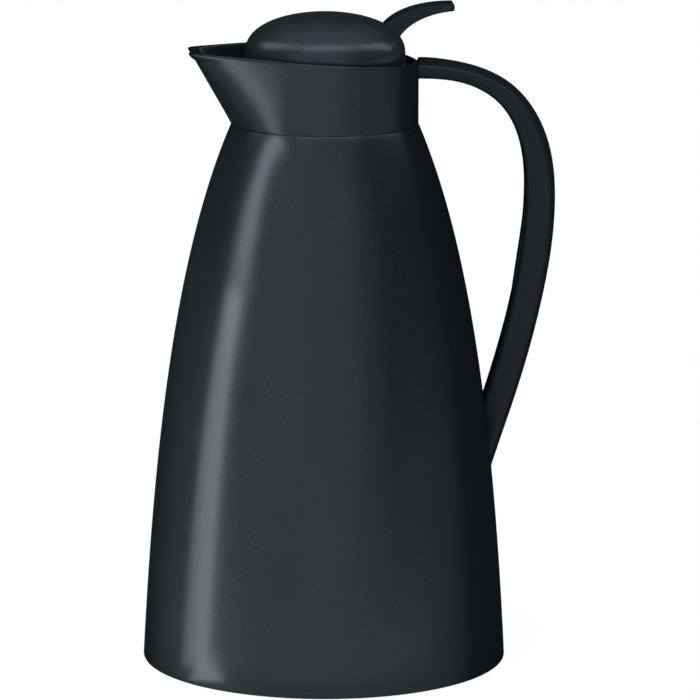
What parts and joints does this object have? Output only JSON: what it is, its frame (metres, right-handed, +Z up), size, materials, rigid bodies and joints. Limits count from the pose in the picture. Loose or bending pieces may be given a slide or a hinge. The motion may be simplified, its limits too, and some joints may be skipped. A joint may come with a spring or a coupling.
{
  "type": "thermal jug",
  "caption": "Tapered insulated jug with a glass vacuum liner, a pointed spout collar, a bowed handle and a domed hinged lid tipped open by a thumb lever.",
  "frame": {"origin": "middle of the round foot, on the surface that the jug stands on", "axes": "+Z up along the axis of the casing, -X towards the spout, +X towards the handle"},
  "size_m": [0.1646, 0.1456, 0.2643],
  "materials": {
    "casing_plastic": "satin black moulded plastic with a very slight blue-grey cast",
    "silvered_glass": "blown glass, silvered on the sides that face the vacuum",
    "soft_silicone": "soft pale grey silicone",
    "steel": "plain bright steel",
    "lid_foam": "rigid white foam with fine cells",
    "spacer_felt": "pressed pale felt"
  },
  "bodies": {
    "jug": {"body_shell": "casing_plastic", "spout_collar": "casing_plastic", "collar_seal": "soft_silicone", "handle": "casing_plastic", "handle_cover": "casing_plastic", "handle_screws": "steel", "liner_outer_flask": "silvered_glass", "liner_inner_flask": "silvered_glass", "liner_spacers": "spacer_felt", "mouth_gasket": "soft_silicone", "hinge_pin": "steel"},
    "lid": {"lid_dome": "casing_plastic", "thumb_lever": "casing_plastic", "lid_base": "casing_plastic", "lid_insulation": "lid_foam", "lid_plug": "casing_plastic", "plug_seal": "soft_silicone", "lid_screws": "steel"},
    "base": {"base_cap": "casing_plastic", "base_seal": "soft_silicone", "liner_cushion": "soft_silicone"}
  },
  "joints": [
    {"name": "lid_hinge", "type": "hinge", "parent": "jug", "child": "lid", "pos_m": [0.0302, 0, 0.2388], "axis": [0, 1, 0], "range_deg": [0, 40]},
    {"name": "base_turn", "type": "hinge", "parent": "jug", "child": "base", "pos_m": [0, 0, 0], "axis": [0, 0, -1], "range_deg": [0, 40]}
  ]
}
